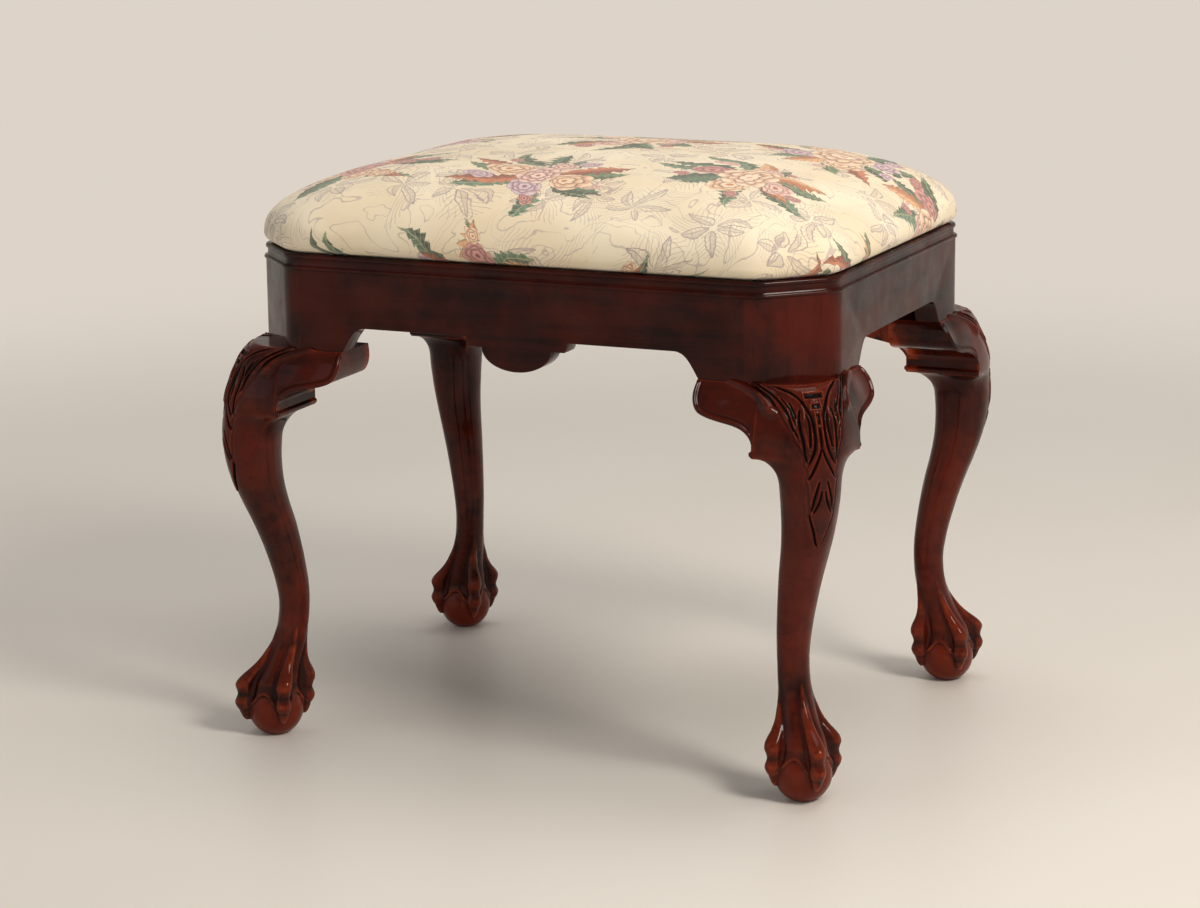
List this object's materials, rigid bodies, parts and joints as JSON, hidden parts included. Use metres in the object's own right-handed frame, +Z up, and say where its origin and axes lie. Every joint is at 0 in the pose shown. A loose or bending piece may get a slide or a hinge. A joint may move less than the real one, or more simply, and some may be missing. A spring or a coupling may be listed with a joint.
{
  "type": "upholstered stool",
  "caption": "Rectangular stool with cabriole legs, claw-and-ball feet, shaped rails, canted corners and a crowned drop-in seat.",
  "frame": {"origin": "on the floor, midway between the four feet", "axes": "+X along the long rails, +Y from the front to the back, +Z up"},
  "size_m": [0.588, 0.468, 0.517],
  "materials": {
    "mahogany": "polished, dark red-brown",
    "inner_wood": "sawn, unpolished",
    "jute": "coarse weave",
    "padding": "soft filling under cloth",
    "printed_cloth": "cotton printed with flowers and leaves",
    "black_cloth": "plain weave",
    "steel": "dull"
  },
  "bodies": {
    "frame": {"leg_front_left": "mahogany", "leg_front_right": "mahogany", "leg_back_left": "mahogany", "leg_back_right": "mahogany", "rail_front": "mahogany", "rail_back": "mahogany", "rail_left": "mahogany", "rail_right": "mahogany", "knee_block_front_left_long": "mahogany", "knee_block_front_left_short": "mahogany", "knee_block_front_right_long": "mahogany", "knee_block_front_right_short": "mahogany", "knee_block_back_left_long": "mahogany", "knee_block_back_left_short": "mahogany", "knee_block_back_right_long": "mahogany", "knee_block_back_right_short": "mahogany", "moulding_front": "mahogany", "moulding_back": "mahogany", "moulding_left": "mahogany", "moulding_right": "mahogany", "moulding_corner_front_left": "mahogany", "moulding_corner_front_right": "mahogany", "moulding_corner_back_left": "mahogany", "moulding_corner_back_right": "mahogany", "corner_block_front_left": "inner_wood", "corner_block_front_right": "inner_wood", "corner_block_back_left": "inner_wood", "corner_block_back_right": "inner_wood", "corner_block_screws": "steel"},
    "seat": {"seat_board_front": "inner_wood", "seat_board_back": "inner_wood", "seat_board_left": "inner_wood", "seat_board_right": "inner_wood", "seat_webbing": "jute", "seat_hessian": "jute", "seat_pad": "padding", "seat_cover": "printed_cloth", "dust_cloth": "black_cloth", "dust_cloth_tacks": "steel"}
  },
  "joints": [
    {"name": "seat_lift", "type": "slide", "parent": "frame", "child": "seat", "axis": [0, 0, 1], "range_m": [0, 0.12]}
  ]
}
